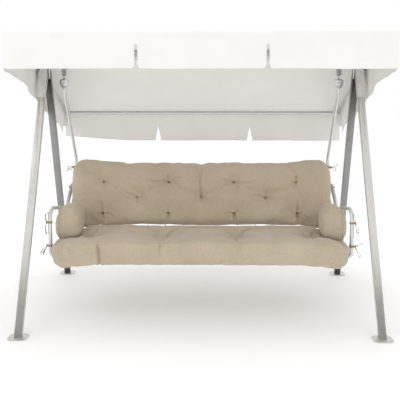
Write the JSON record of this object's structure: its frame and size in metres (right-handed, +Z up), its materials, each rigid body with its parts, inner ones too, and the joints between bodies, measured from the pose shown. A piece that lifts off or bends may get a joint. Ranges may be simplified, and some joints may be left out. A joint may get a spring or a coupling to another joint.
{
  "type": "canopy swing bench",
  "caption": "Garden swing bench hung on springs from an A-frame stand, with padded seat, back and arms under a tilting fabric canopy.",
  "frame": {"origin": "on the ground, in the middle of the canopy's outline seen from above", "axes": "+Z up; the bench faces -Y; +X to the right as seen from the front"},
  "size_m": [2.156, 1.4416, 1.7143],
  "materials": {
    "galvanised": "galvanised steel, satin grey",
    "bright_zinc": "bright zinc plate",
    "silver_tube": "silver powder coat",
    "dark_steel": "oiled steel",
    "knob_plastic": "moulded black plastic",
    "cap_plastic": "moulded white plastic",
    "canopy_cloth": "off-white woven polyester",
    "cushion_cloth": "beige canvas weave"
  },
  "bodies": {
    "stand": {"apex_bolt_lower_left": "bright_zinc", "apex_bolt_lower_right": "bright_zinc", "apex_bolt_upper_left": "bright_zinc", "apex_bolt_upper_right": "bright_zinc", "apex_bracket_left": "bright_zinc", "apex_bracket_right": "bright_zinc", "apex_rivet_left": "bright_zinc", "apex_rivet_right": "bright_zinc", "crossbar_brace_left": "silver_tube", "crossbar_brace_right": "silver_tube", "hook_eye_left": "bright_zinc", "hook_eye_right": "bright_zinc", "leg_front_left": "galvanised", "leg_front_right": "galvanised", "leg_rear_left": "galvanised", "leg_rear_right": "galvanised", "foot_plate_front_left": "galvanised", "foot_plate_front_right": "galvanised", "foot_plate_rear_left": "galvanised", "foot_plate_rear_right": "galvanised", "crossbar": "galvanised"},
    "suspension": {"spring_left": "dark_steel", "spring_right": "dark_steel"},
    "seat": {"hanger_tube_left": "silver_tube", "hanger_tube_right": "silver_tube", "arm_tube_left": "silver_tube", "arm_tube_right": "silver_tube", "arm_bolt_front_left": "dark_steel", "arm_bolt_front_right": "dark_steel", "arm_bolt_rear_left": "dark_steel", "arm_bolt_rear_right": "dark_steel", "arm_cushion_left": "cushion_cloth", "arm_cushion_right": "cushion_cloth", "arm_tie_left": "cushion_cloth", "arm_tie_right": "cushion_cloth", "back_tie_left": "cushion_cloth", "back_tie_right": "cushion_cloth", "seat_tie_left": "cushion_cloth", "seat_tie_right": "cushion_cloth", "seat_frame": "silver_tube", "back_frame": "silver_tube", "seat_grid": "galvanised", "back_grid": "galvanised", "seat_cushion": "cushion_cloth", "back_cushion": "cushion_cloth"},
    "canopy": {"canopy_valance_left": "canopy_cloth", "canopy_valance_right": "canopy_cloth", "canopy_arm_left": "silver_tube", "canopy_arm_right": "silver_tube", "rail_cap_left": "cap_plastic", "rail_cap_right": "cap_plastic", "canopy_roof": "canopy_cloth", "canopy_valance_front": "canopy_cloth", "canopy_valance_rear": "canopy_cloth", "canopy_rail_front": "silver_tube", "canopy_rail_rear": "silver_tube"},
    "knob_left": {"tilt_knob_left": "knob_plastic"},
    "knob_right": {"tilt_knob_right": "knob_plastic"}
  },
  "joints": [
    {"name": "seat_swing", "type": "hinge", "parent": "stand", "child": "suspension", "pos_m": [0, -0.05, 1.55995], "axis": [1, 0, 0], "range_deg": [-18, 18]},
    {"name": "seat_bounce", "type": "slide", "parent": "suspension", "child": "seat", "axis": [0, 0, 1], "range_m": [-0.025, 0], "stiffness_N_per_m": 60000, "springref_m": 0.01, "deforming": ["spring_left", "spring_right"]},
    {"name": "canopy_tilt", "type": "hinge", "parent": "stand", "child": "canopy", "pos_m": [0, -0.05, 1.545], "axis": [1, 0, 0], "range_deg": [-10, 14]},
    {"name": "knob_turn_left", "type": "hinge", "parent": "stand", "child": "knob_left", "pos_m": [-1.04, -0.05, 1.545], "axis": [1, 0, 0], "continuous": true},
    {"name": "knob_turn_right", "type": "hinge", "parent": "stand", "child": "knob_right", "pos_m": [1.04, -0.05, 1.545], "axis": [1, 0, 0], "continuous": true}
  ]
}
